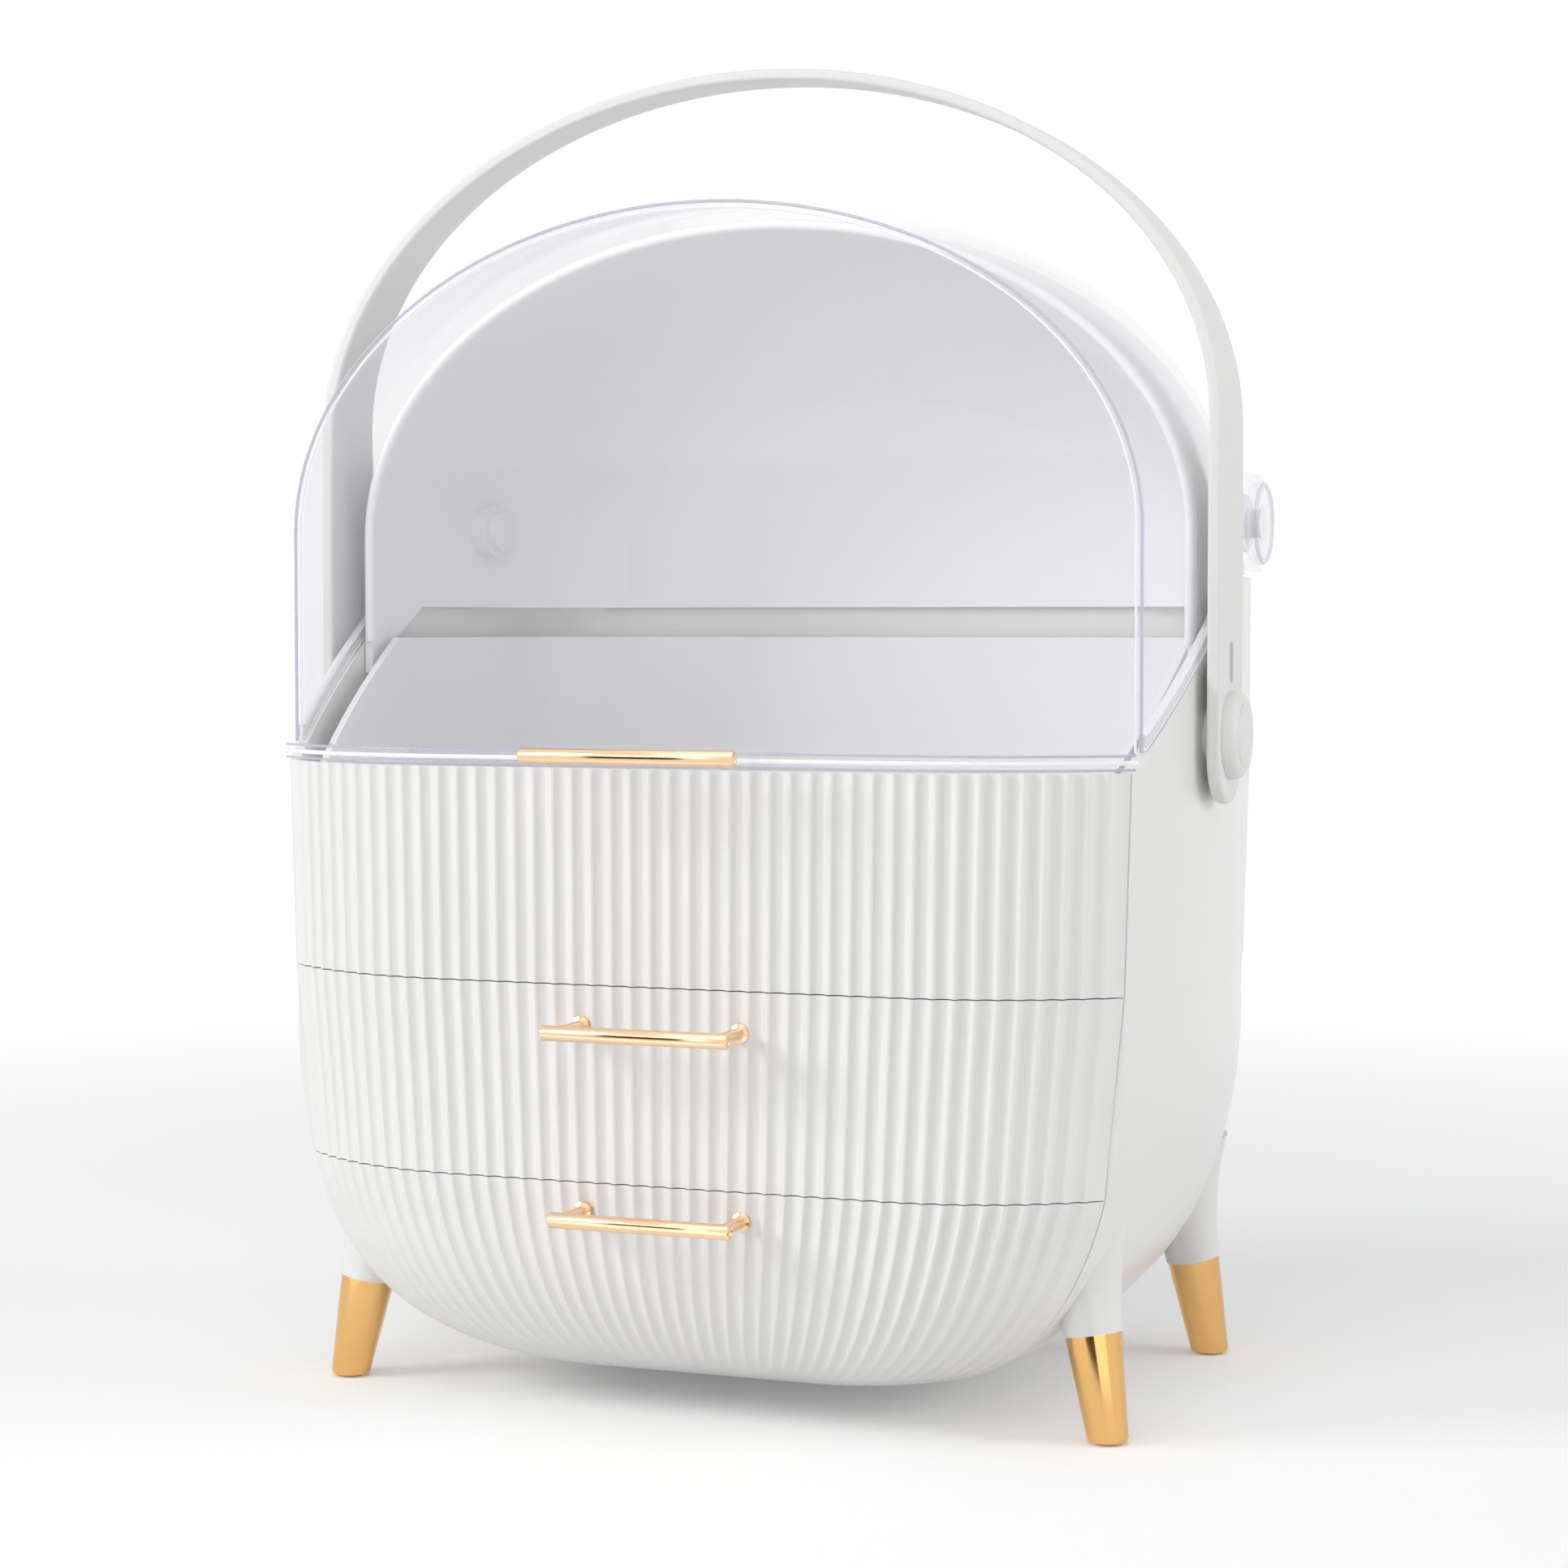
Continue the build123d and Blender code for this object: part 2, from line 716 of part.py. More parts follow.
# Carry handle
arm_outer_x = handle_inner_x + handle_arm_thickness
arm_low = handle_pivot_z - handle_end_below
with BuildPart() as strap_outline:
    with BuildSketch(across(span)):
        wide = handle_arm_width / 2
        narrow = handle_top_width / 2
        round_z = arm_low + wide
        top_z = handle_top_z + wall
        with BuildLine():
            for way in (-1, 1):
                foot = (handle_pivot_y + way * wide, round_z)
                bend = (handle_pivot_y + way * wide, handle_taper_z)
                crown = (handle_pivot_y + way * narrow, top_z)
                Line(foot, bend)
                Spline(bend, crown, tangents=((0, 1), (0, 1)))
            Line((handle_pivot_y - narrow, top_z), (handle_pivot_y + narrow, top_z))
            ThreePointArc(
                (handle_pivot_y - wide, round_z),
                (handle_pivot_y, arm_low),
                (handle_pivot_y + wide, round_z),
            )
        make_face()
    extrude(amount=span)
with BuildPart() as handle_strap:
    with BuildSketch(Plane.XZ.offset(-handle_pivot_y - handle_arm_width / 2)):
        for half, top, mode in (
            (arm_outer_x, handle_top_z, Mode.ADD),
            (handle_inner_x, handle_top_z - handle_top_thickness, Mode.SUBTRACT),
        ):
            with BuildLine():
                Polyline((-half, handle_straight_z), (-half, arm_low), (half, arm_low), (half, handle_straight_z))
                EllipticalCenterArc((0, handle_straight_z), half, top - handle_straight_z, arc_size=180)
            make_face(mode=mode)
    extrude(amount=handle_arm_width)
    add(strap_outline.part, mode=Mode.INTERSECT)
    fillet(handle_strap.edges(), handle_edge_round)
    for side in side_names.values():
        with BuildSketch(side_plane(side, handle_inner_x - wall, handle_pivot_y, handle_pivot_z)):
            Circle(handle_pin_radius + pin_clearance)
        extrude(amount=3 * wall, mode=Mode.SUBTRACT)
        slot_z = handle_pivot_z + handle_slot_rise
        with BuildSketch(side_plane(side, arm_outer_x - handle_slot_depth, handle_pivot_y, slot_z)):
            SlotOverall(handle_slot_length, handle_slot_width, rotation=90)
        extrude(amount=2 * handle_slot_depth, mode=Mode.SUBTRACT)
finish(handle_strap, "handle_strap")

for name, side in side_names.items():
    handle_cap = domed_cap(
        side,
        arm_outer_x,
        handle_pivot_y,
        handle_pivot_z,
        handle_cap_radius,
        handle_cap_thickness,
        handle_cap_round,
        handle_pin_radius + fit_gap,
        handle_pin_overrun + fit_gap,
    )
    finish(handle_cap, f"handle_cap_{name}")


# Drawers
def drawer_front(low, high, middle_levels, pull_z):
    """Ribbed shell between two heights, with holes for the two posts of its pull."""
    with BuildPart() as shell:
        levels = [low] + middle_levels + [high]
        loft([ribbed_section(z).face() for z in levels], ruled=not middle_levels)
        floor = low - wall if not middle_levels else low + wall
        add(body_solid(floor, high + wall, front_wall), mode=Mode.SUBTRACT)
        with BuildSketch(Plane.XZ.offset(-face_y + wall)):
            with Locations(*[(x, pull_z) for x in post_xs]):
                Circle(pull_post_radius + pin_clearance)
        extrude(amount=-(3 * wall + front_wall), mode=Mode.SUBTRACT)
    return shell


def closed_profile(half):
    """Closed front view of a bin from its right half, listed from the bottom up."""
    with BuildLine() as outline:
        Polyline(*half, *[(-x, z) for x, z in reversed(half)], close=True)
    return outline.line


def drawer_bin(outer, inner, back, pull_z):
    """Open-topped drawer: a front view run from front to back, trimmed to the front's curve."""
    front = face_y - wall
    low, high = outer[0][1], outer[-1][1]
    with BuildPart() as hollow:
        with BuildSketch(Plane.XZ.offset(-front)):
            with BuildLine():
                add(closed_profile(inner))
            make_face()
        extrude(amount=-(back - drawer_wall - front))
        inside = body_solid(low, high + wall, front_wall + fit_gap + drawer_wall)
        add(inside, mode=Mode.INTERSECT)
    with BuildPart() as box:
        with BuildSketch(Plane.XZ.offset(-front)):
            with BuildLine():
                add(closed_profile(outer))
            make_face()
        extrude(amount=-(back - front))
        add(body_solid(low - wall, high + wall, front_wall + fit_gap), mode=Mode.INTERSECT)
        add(hollow.part, mode=Mode.SUBTRACT)
        with BuildSketch(Plane.XZ.offset(-front)):
            with Locations(*[(x, pull_z) for x in post_xs]):
                Circle(screw_head_radius + fit_gap)
        extrude(amount=-crease_setback, mode=Mode.SUBTRACT)
    return box


def pull_screws(pull_z):
    """The two screws that hold a pull, from inside the drawer's front."""
    seat_y = front_y(pull_z) + front_wall + fit_gap
    with BuildPart() as screws:
        with BuildSketch(Plane.XZ.offset(-seat_y)):
            with Locations(*[(x, pull_z) for x in post_xs]):
                Circle(screw_head_radius)
        extrude(amount=-screw_head_thickness)
        with BuildSketch(Plane.XZ.offset(-seat_y)):
            with Locations(*[(x, pull_z) for x in post_xs]):
                Circle(screw_radius)
        extrude(amount=screw_engagement)
    return screws


def drawer_pull(length, reach, pull_z):
    """A drawer's bar pull, its posts bored for their screws."""
    seat_y = front_y(pull_z) + front_wall
    with BuildPart() as pull:
        add(bar_pull(length, front_y(pull_z) - reach, pull_z, pull_post_radius, seat_y).part)
        with BuildSketch(Plane.XZ.offset(-seat_y)):
            with Locations(*[(x, pull_z) for x in post_xs]):
                Circle(screw_radius + pin_clearance)
        extrude(amount=screw_engagement + fit_gap, mode=Mode.SUBTRACT)
    return pull


middle_low = middle_shelf_top + fit_gap
middle_high = middle_low + middle_bin_height
lower_high = lower_bin_flange_z + lower_bin_flange_thickness
bin_floor_half = lower_bin_floor_half_width
drawers = {
    "middle": {
        "low": lower_seam_z + seam_line / 2,
        "high": upper_seam_z - seam_line / 2,
        "levels": [],
        "pull": (middle_pull_length, middle_pull_reach, middle_pull_z),
        "outer": [(middle_bin_half_width, middle_low), (middle_bin_half_width, middle_high)],
        "inner": [
            (middle_bin_half_width - drawer_wall, middle_low + drawer_wall),
            (middle_bin_half_width - drawer_wall, middle_high + wall),
        ],
        "back": back_y - middle_bin_back_gap,
    },
    "lower": {
        "low": lower_front_start_z,
        "high": lower_seam_z - seam_line / 2,
        "levels": front_levels,
        "pull": (lower_pull_length, lower_pull_reach, lower_pull_z),
        "outer": [
            (bin_floor_half, lower_bin_floor_z),
            (lower_bin_flank_half_width, lower_bin_flank_z),
            (lower_bin_half_width, lower_bin_wall_z),
            (lower_bin_half_width, lower_bin_flange_z),
            (flange_reach, lower_bin_flange_z),
            (flange_reach, lower_high),
        ],
        "inner": [
            (bin_floor_half - drawer_wall / 2, lower_bin_floor_z + drawer_wall),
            (lower_bin_flank_half_width - drawer_wall, lower_bin_flank_z + drawer_wall / 2),
            (lower_bin_half_width - drawer_wall, lower_bin_wall_z),
            (lower_bin_half_width - drawer_wall, lower_high + wall),
        ],
        "back": back_y - lower_bin_back_gap,
    },
}
for name, sizes in drawers.items():
    length, reach, pull_z = sizes["pull"]
    finish(drawer_front(sizes["low"], sizes["high"], sizes["levels"], pull_z), f"{name}_drawer_front")
    finish(drawer_bin(sizes["outer"], sizes["inner"], sizes["back"], pull_z), f"{name}_drawer_bin")
    finish(drawer_pull(length, reach, pull_z), f"{name}_drawer_pull")
    finish(pull_screws(pull_z), f"{name}_pull_screws")

# Feet
with BuildPart() as foot_pads:
    with BuildSketch():
        for side, end in foot_names.values():
            with Locations((side * foot_spread_x, feet_y + end * foot_spread_y)):
                Circle(foot_pad_radius)
    extrude(amount=foot_pad_thickness)
finish(foot_pads, "foot_pads")

stud_start = foot_tip_length - foot_stud_length / 2
with BuildPart() as foot_studs:
    for side, end in foot_names.values():
        with BuildSketch(foot_plane(side, end).offset(stud_start)):
            Circle(foot_stud_radius)
        extrude(amount=foot_stud_length)
finish(foot_studs, "foot_studs")

for name, (side, end) in foot_names.items():
    with BuildPart() as foot_tip:
        base = foot_plane(side, end)
        with BuildSketch(base.offset(-foot_pad_thickness)):
            Circle(foot_tip_end_radius)
        with BuildSketch(base.offset(foot_tip_length)):
            Circle(foot_tip_top_radius)
        loft()
        lower_rim = foot_tip.edges().filter_by(GeomType.CIRCLE).sort_by(Axis.Z)[0]
        fillet(lower_rim, foot_end_round)
        with BuildSketch(Plane.XY.offset(foot_pad_thickness)):
            Rectangle(span, span)
        extrude(amount=-foot_tip_length, mode=Mode.SUBTRACT)
        with BuildSketch(base.offset(stud_start - fit_gap)):
            Circle(foot_stud_radius + pin_clearance)
        extrude(amount=foot_tip_length, mode=Mode.SUBTRACT)
    finish(foot_tip, f"foot_tip_{name}")
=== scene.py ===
"""The looks of a portable makeup organizer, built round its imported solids.

A white ribbed case on gold-tipped feet, two drawers with bar pulls, a clear flip-up lid over a deep
tray, a fixed hood behind it and a carry handle. Metres, +X right, +Y back, +Z up.
"""
from __future__ import annotations

import logging
import math
from dataclasses import dataclass
from enum import Enum
from typing import Any, Mapping, Sequence

import bmesh
import bpy
from mathutils import Matrix, Vector

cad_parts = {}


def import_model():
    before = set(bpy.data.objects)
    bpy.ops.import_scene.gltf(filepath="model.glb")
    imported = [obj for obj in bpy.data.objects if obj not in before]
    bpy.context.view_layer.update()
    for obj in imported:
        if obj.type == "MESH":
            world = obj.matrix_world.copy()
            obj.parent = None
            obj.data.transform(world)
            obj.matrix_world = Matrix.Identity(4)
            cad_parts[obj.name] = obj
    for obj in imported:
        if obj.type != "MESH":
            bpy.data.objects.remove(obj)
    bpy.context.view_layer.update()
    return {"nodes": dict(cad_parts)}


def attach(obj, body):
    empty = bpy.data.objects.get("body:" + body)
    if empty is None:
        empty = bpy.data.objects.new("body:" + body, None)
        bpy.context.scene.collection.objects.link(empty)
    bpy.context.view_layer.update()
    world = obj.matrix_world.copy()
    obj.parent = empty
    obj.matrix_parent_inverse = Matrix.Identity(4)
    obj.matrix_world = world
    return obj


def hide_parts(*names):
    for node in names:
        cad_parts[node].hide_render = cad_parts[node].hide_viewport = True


log = logging.getLogger("makeup_organizer")

Colour = tuple[float, float, float]
Triple = tuple[float, float, float]
Profile = Sequence[tuple[float, float]]
Nodes = Mapping[str, bpy.types.Object]
MM = 0.001
SHARP_ANGLE = math.radians(42.0)
MERGE_DISTANCE = 1e-6
PLASTIC_IOR = 1.49
MIX_FIRST = 6
MIX_SECOND = 7
MIX_RESULT = 2
WHITE = (1.0, 1.0, 1.0, 1.0)
SHOWN_RAYS = ("Is Camera Ray", "Is Glossy Ray", "Is Transmission Ray")
LIT_RAYS = ("Is Shadow Ray", "Is Diffuse Ray")
ACROSS = Vector((1, 0, 0))
BACKWARDS = Vector((0, 1, 0))
UPWARDS = Vector((0, 0, 1))


class Slot(Enum):
    """Material slots of the record, one for each kind of new piece."""

    WHITE = "white_plastic"
    CLEAR = "clear_plastic"
    ROSE = "rose_gold"


class Body(Enum):
    """Moving bodies of the organizer."""

    CASE = "case"
    HANDLE = "carry_handle"
    LID = "lid"
    MIDDLE = "middle_drawer"
    LOWER = "lower_drawer"


class Side(Enum):
    """The two sides, as signs along X."""

    LEFT = -1
    RIGHT = 1

    @property
    def word(self) -> str:
        """The side's name in lower case."""
        return self.name.lower()


# Shader graphs


class Socket:
    """A value in a shader graph that takes Python's arithmetic."""

    def __init__(self, graph: Graph, link: bpy.types.NodeSocket) -> None:
        """Wraps an output socket.

        Args:
            graph: The graph that the socket belongs to.
            link: The output socket itself.
        """
        self.graph = graph
        self.link = link

    def _math(self, operation: str, first: Any, second: Any) -> Socket:
        """Adds one Math node.

        Args:
            operation: Blender's name of the operation.
            first: First value, a number or a Socket.
            second: Second value, a number or a Socket.

        Returns:
            The result.
        """
        return self.graph.node("ShaderNodeMath", {"operation": operation}, {0: first, 1: second})

    def __add__(self, other: Any) -> Socket:
        """Sum."""
        return self._math("ADD", self, other)

    def __radd__(self, other: Any) -> Socket:
        """Sum, reflected."""
        return self._math("ADD", other, self)

    def __sub__(self, other: Any) -> Socket:
        """Difference."""
        return self._math("SUBTRACT", self, other)

    def __rsub__(self, other: Any) -> Socket:
        """Difference, reflected."""
        return self._math("SUBTRACT", other, self)

    def __mul__(self, other: Any) -> Socket:
        """Product."""
        return self._math("MULTIPLY", self, other)

    def __rmul__(self, other: Any) -> Socket:
        """Product, reflected."""
        return self._math("MULTIPLY", other, self)

    def __pow__(self, other: Any) -> Socket:
        """Power."""
        return self._math("POWER", self, other)

    def larger(self, other: Any) -> Socket:
        """The larger of two values."""
        return self._math("MAXIMUM", self, other)


class Graph:
    """The node graph of one material or world."""

    def __init__(self, owner: bpy.types.Material | bpy.types.World) -> None:
        """Empties the graph of a new material or world.

        Args:
            owner: The material or world.
        """
        self.owner = owner
        owner.use_nodes = True
        self.tree = owner.node_tree
        self.tree.nodes.clear()

    @classmethod
    def material(cls, name: str) -> Graph:
        """The empty graph of a new material of this name."""
        return cls(bpy.data.materials.new(name))

    def node(
        self,
        kind: str,
        settings: Mapping[str, Any] | None = None,
        inputs: Mapping[Any, Any] | None = None,
        output: Any = 0,
    ) -> Socket:
        """Adds any node.

        Args:
            kind: Blender's type of node.
            settings: Properties set first.
            inputs: Values or Sockets by the input's name or number.
            output: The output to hand back, by name or number.

        Returns:
            The chosen output.
        """
        made = self.tree.nodes.new(kind)
        for key, value in (settings or {}).items():
            setattr(made, key, value)
        for key, value in (inputs or {}).items():
            if isinstance(value, Socket):
                self.tree.links.new(value.link, made.inputs[key])
            else:
                made.inputs[key].default_value = value
        return Socket(self, made.outputs[output])

    def place(self) -> Socket:
        """The point on the piece, in metres in the object's own frame."""
        return self.node("ShaderNodeTexCoord", output="Object")

    def rays(self, *names: str) -> Socket:
        """1 for rays of any of the named kinds, as Light Path names them, and 0 for others."""
        path = self.tree.nodes.new("ShaderNodeLightPath")
        seen = Socket(self, path.outputs[names[0]])
        for name in names[1:]:
            seen = seen.larger(Socket(self, path.outputs[name]))
        return seen

    def noise(self, scale: float, detail: float = 2.0, stretch: Triple = (1.0, 1.0, 1.0)) -> Socket:
        """Smooth noise from about 0 to 1.

        Args:
            scale: Grains per metre.
            detail: Octaves of finer noise.
            stretch: Factors that lengthen or shorten the grain along the axes.

        Returns:
            The noise value.
        """
        spot = self.node("ShaderNodeMapping", {}, {"Vector": self.place(), "Scale": stretch})
        return self.node("ShaderNodeTexNoise", {}, {"Vector": spot, "Scale": scale, "Detail": detail})

    def blend(self, factor: Socket, first: Colour, second: Colour) -> Socket:
        """Mixes two colours.

        Args:
            factor: Share of the second colour.
            first: Colour at 0.
            second: Colour at 1.

        Returns:
            The mixed colour.
        """
        inputs = {0: factor, MIX_FIRST: (*first, 1.0), MIX_SECOND: (*second, 1.0)}
        return self.node("ShaderNodeMix", {"data_type": "RGBA"}, inputs, MIX_RESULT)

    def bump(self, height: Socket, depth: float, strength: float) -> Socket:
        """Turns a height into a surface normal.

        Args:
            height: Height from 0 to 1.
            depth: Real depth of that height in metres.
            strength: Blender's strength of the bump.

        Returns:
            The normal.
        """
        return self.node("ShaderNodeBump", {}, {"Strength": strength, "Distance": depth, "Height": height})

    def principled(self, inputs: Mapping[str, Any]) -> Socket:
        """A Principled shader with the given inputs."""
        return self.node("ShaderNodeBsdfPrincipled", {}, inputs)

    def finish(self, shader: Socket, output: str = "ShaderNodeOutputMaterial") -> Any:
        """Joins a shader to the output.

        Args:
            shader: The surface shader.
            output: Blender's type of output node.

        Returns:
            The finished material or world.
        """
        end = self.tree.nodes.new(output)
        self.tree.links.new(shader.link, end.inputs["Surface"])
        return self.owner


# Finishes


@dataclass(frozen=True)
class MouldedPlastic:
    """Opaque injection-moulded plastic: faint flow tone, fine surface grain."""

    name: str
    colour: Colour
    shade: Colour
    roughness: float = 0.34
    grain_depth: float = 0.000006
    coat: float = 0.25
    flow_scale: float = 9.0
    grain_scale: float = 700.0
    grain_strength: float = 0.3
    wear_scale: float = 38.0
    wear_share: float = 0.08
    coat_roughness: float = 0.12

    def build(self) -> bpy.types.Material:
        """Makes the material."""
        graph = Graph.material(self.name)
        flow = graph.noise(self.flow_scale, detail=3.0)
        grain = graph.noise(self.grain_scale)
        wear = graph.noise(self.wear_scale, detail=4.0)
        return graph.finish(graph.principled({
            "Base Color": graph.blend(flow, self.colour, self.shade),
            "Roughness": self.roughness + self.wear_share * wear,
            "Normal": graph.bump(grain, self.grain_depth, self.grain_strength),
            "Coat Weight": self.coat,
            "Coat Roughness": self.coat_roughness,
            "IOR": PLASTIC_IOR,
        }))


@dataclass(frozen=True)
class ClearPlastic:
    """Clear moulded plastic that gathers tint and gloss where it is seen edge on."""

    name: str
    tint: Colour
    edge: Colour
    face_alpha: float
    edge_alpha: float = 0.6
    falloff: float = 4.0
    light_share: float = 0.95
    haze_scale: float = 30.0
    haze_alpha: float = 0.01
    roughness: float = 0.03
    haze_roughness: float = 0.03
    coat: float = 0.6
    coat_roughness: float = 0.02

    def build(self) -> bpy.types.Material:
        """Makes the material, which lets most of the light through to the pieces behind it."""
        graph = Graph.material(self.name)
        facing = graph.node("ShaderNodeLayerWeight", {}, {"Blend": 0.5}, "Facing")
        edge_on = facing ** self.falloff
        haze = graph.noise(self.haze_scale, detail=3.0)
        solid = self.face_alpha + (self.edge_alpha - self.face_alpha) * edge_on + self.haze_alpha * haze
        passing = graph.rays(*LIT_RAYS)
        return graph.finish(graph.principled({
            "Base Color": graph.blend(edge_on, self.tint, self.edge),
            "Roughness": self.roughness + self.haze_roughness * haze,
            "Alpha": solid * (1.0 - self.light_share * passing),
            "IOR": PLASTIC_IOR,
            "Coat Weight": self.coat,
            "Coat Roughness": self.coat_roughness,
        }))


@dataclass(frozen=True)
class PlatedMetal:
    """Polished plating with a little waviness and fine wiping marks."""

    name: str
    colour: Colour
    deep: Colour
    roughness: float
    wipe_stretch: Triple = (1.0, 1.0, 1.0)
    tone_scale: float = 60.0
    wipe_scale: float = 700.0
    wipe_share: float = 0.08
    wave_scale: float = 110.0
    wave_depth: float = 0.00004
    wave_strength: float = 0.25

    def build(self) -> bpy.types.Material:
        """Makes the material."""
        graph = Graph.material(self.name)
        tone = graph.noise(self.tone_scale)
        wipes = graph.noise(self.wipe_scale, detail=3.0, stretch=self.wipe_stretch)
        wave = graph.noise(self.wave_scale, detail=1.0)
        return graph.finish(graph.principled({
            "Base Color": graph.blend(tone, self.colour, self.deep),
            "Metallic": 1.0,
            "Roughness": self.roughness + self.wipe_share * wipes,
            "Normal": graph.bump(wave, self.wave_depth, self.wave_strength),
        }))


@dataclass(frozen=True)
class SoftRubber:
    """Matte rubber of the foot pads."""

    name: str
    colour: Colour
    speck_scale: float = 1500.0
    speck_shade: float = 0.8
    speck_depth: float = 0.00005
    speck_strength: float = 0.4
    speck_roughness: float = 0.1
    roughness: float = 0.75

    def build(self) -> bpy.types.Material:
        """Makes the material."""
        graph = Graph.material(self.name)
        speck = graph.noise(self.speck_scale)
        darker = tuple(self.speck_shade * part for part in self.colour)
        return graph.finish(graph.principled({
            "Base Color": graph.blend(speck, self.colour, darker),
            "Roughness": self.roughness + self.speck_roughness * speck,
            "Normal": graph.bump(speck, self.speck_depth, self.speck_strength),
        }))


class Finishes:
    """Every finish of the organizer, made once."""

    def __init__(self) -> None:
        """Builds the materials."""
        self.case = MouldedPlastic("case_white", (0.83, 0.825, 0.812), (0.81, 0.805, 0.792)).build()
        # The hood's white is lighter and faintly bluer than the case's: painted light for the light that fills the
        # hood's inside through the clear lid.
        self.hood = MouldedPlastic(
            "hood_white_painted_light", (0.94, 0.94, 0.955), (0.93, 0.93, 0.945), roughness=0.45, coat=0.0
        ).build()
        # The handle's white is a little darker than the case's: painted shade that offsets the hood lamp's light on
        # the strap's top.
        self.strap = MouldedPlastic(
            "handle_white_painted_shade", (0.79, 0.782, 0.772), (0.77, 0.762, 0.752), roughness=0.42, grain_depth=3e-6, coat=0.0
        ).build()
        self.liner = MouldedPlastic("liner_white", (0.90, 0.90, 0.92), (0.88, 0.88, 0.90), roughness=0.4).build()
        self.clear = ClearPlastic("lid_clear", (0.94, 0.94, 0.97), (0.80, 0.79, 0.88), face_alpha=0.085).build()
        # Dark lavender lines: the plastic's own tint, darkened to paint the refraction shade along the lid's edges.
        self.edge = ClearPlastic(
            "lid_edge_painted_shade", (0.52, 0.50, 0.64), (0.45, 0.43, 0.58), face_alpha=0.62, edge_alpha=0.92, falloff=2.0
        ).build()
        # Near-white lines: painted highlights along the lid's edges.
        self.painted_highlight = ClearPlastic(
            "lid_edge_painted_highlight", (0.97, 0.97, 0.98), (0.95, 0.95, 0.98), face_alpha=0.75, edge_alpha=0.9, falloff=2.0
        ).build()
        # Pale lavender band: the plastic's own tint, deepened to paint the refraction shade in the lid's side edges
        # and hub rims.
        self.band = ClearPlastic(
            "lid_edge_band_painted_shade", (0.76, 0.75, 0.86), (0.72, 0.71, 0.83), face_alpha=0.38, edge_alpha=0.7, falloff=2.0
        ).build()
        self.gold = PlatedMetal("foot_gold", (0.88, 0.53, 0.21), (0.83, 0.48, 0.17), roughness=0.1).build()
        self.rose = PlatedMetal(
            "pull_rose_gold", (0.95, 0.67, 0.43), (0.91, 0.62, 0.38), roughness=0.12, wipe_stretch=(0.1, 1.0, 1.0)
        ).build()
        self.steel = PlatedMetal("screw_steel", (0.62, 0.62, 0.64), (0.56, 0.56, 0.58), roughness=0.3).build()
        self.rubber = SoftRubber("foot_rubber", (0.55, 0.54, 0.53)).build()


# Meshes


class Shape:
    """A piece in the making: a bmesh in metres that becomes a named object on its body."""

    def __init__(self, name: str) -> None:
        """Starts an empty shape.

        Args:
            name: The piece's name.
        """
        self.name = name
        self.mesh = bmesh.new()

    def tube(self, path: Sequence[Vector], across: float, along: float, up: Vector, sides: int = 12) -> None:
        """Runs an oval section along a path of points and closes both ends.

        Args:
            path: Points of the centre line.
            across: Half width of the section, square to up.
            along: Half width of the section along up.
            up: A direction that the section keeps, not parallel to the path.
            sides: Sides of the section.
        """
        ring = bmesh.ops.create_circle(self.mesh, segments=sides, radius=1.0)["verts"]
        bmesh.ops.scale(self.mesh, vec=(across, along, 1.0), verts=ring)
        frames = [self._frame(path, index, up) for index in range(len(path))]
        bmesh.ops.transform(self.mesh, matrix=frames[0], verts=ring)
        edges = list(dict.fromkeys(edge for vert in ring for edge in vert.link_edges))
        bmesh.ops.edgeloop_fill(self.mesh, edges=edges)
        for before, after in zip(frames, frames[1:]):
            grown = bmesh.ops.extrude_edge_only(self.mesh, edges=edges)["geom"]
            verts = [part for part in grown if isinstance(part, bmesh.types.BMVert)]
            edges = [part for part in grown if isinstance(part, bmesh.types.BMEdge) and part.is_boundary]
            bmesh.ops.transform(self.mesh, matrix=after @ before.inverted(), verts=verts)
        bmesh.ops.edgeloop_fill(self.mesh, edges=edges)

    @staticmethod
    def _frame(path: Sequence[Vector], index: int, up: Vector) -> Matrix:
        """The section's frame at one point of a path.

        Args:
            path: Points of the centre line.
            index: Which point.
            up: Direction that the section keeps.

        Returns:
            The frame as a matrix, with Z along the path.
        """
        after = path[min(index + 1, len(path) - 1)]
        before = path[max(index - 1, 0)]
        ahead = (after - before).normalized()
        rise = (up - ahead * up.dot(ahead)).normalized()
        side = rise.cross(ahead)
        turn = Matrix((side, rise, ahead)).transposed().to_4x4()
        return Matrix.Translation(path[index]) @ turn

    def spun(self, profile: Profile, centre: Vector, axis: Vector, steps: int) -> None:
        """Spins a profile about an axis.

        Args:
            profile: Pairs of radius and height along the axis, in millimetres.
            centre: Where the axis starts.
            axis: Direction of the axis, one unit long.
            steps: Steps of a full turn.
        """
        out = axis.orthogonal().normalized()
        verts = [
            self.mesh.verts.new(centre + out * (radius * MM) + axis * (height * MM)) for radius, height in profile
        ]
        edges = [self.mesh.edges.new(ends) for ends in zip(verts, verts[1:])]
        bmesh.ops.spin(
            self.mesh, geom=verts + edges, cent=centre, axis=axis, angle=math.tau, steps=steps, use_merge=True
        )

    def settle(self, body: Body, slot: Slot, material: bpy.types.Material, *stands_for: str) -> None:
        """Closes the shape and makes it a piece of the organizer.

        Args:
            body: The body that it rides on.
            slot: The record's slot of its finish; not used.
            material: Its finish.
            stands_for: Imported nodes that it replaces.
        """
        bmesh.ops.remove_doubles(self.mesh, verts=self.mesh.verts, dist=MERGE_DISTANCE)
        bmesh.ops.recalc_face_normals(self.mesh, faces=self.mesh.faces)
        for face in self.mesh.faces:
            face.smooth = True
        for edge in self.mesh.edges:
            edge.smooth = len(edge.link_faces) != 2 or edge.calc_face_angle() < SHARP_ANGLE
        piece = add_object(self.name, self.mesh, material)
        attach(piece, body.value)
        if stands_for:
            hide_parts(*stands_for)
        log.info("made %s on %s", self.name, body.value)


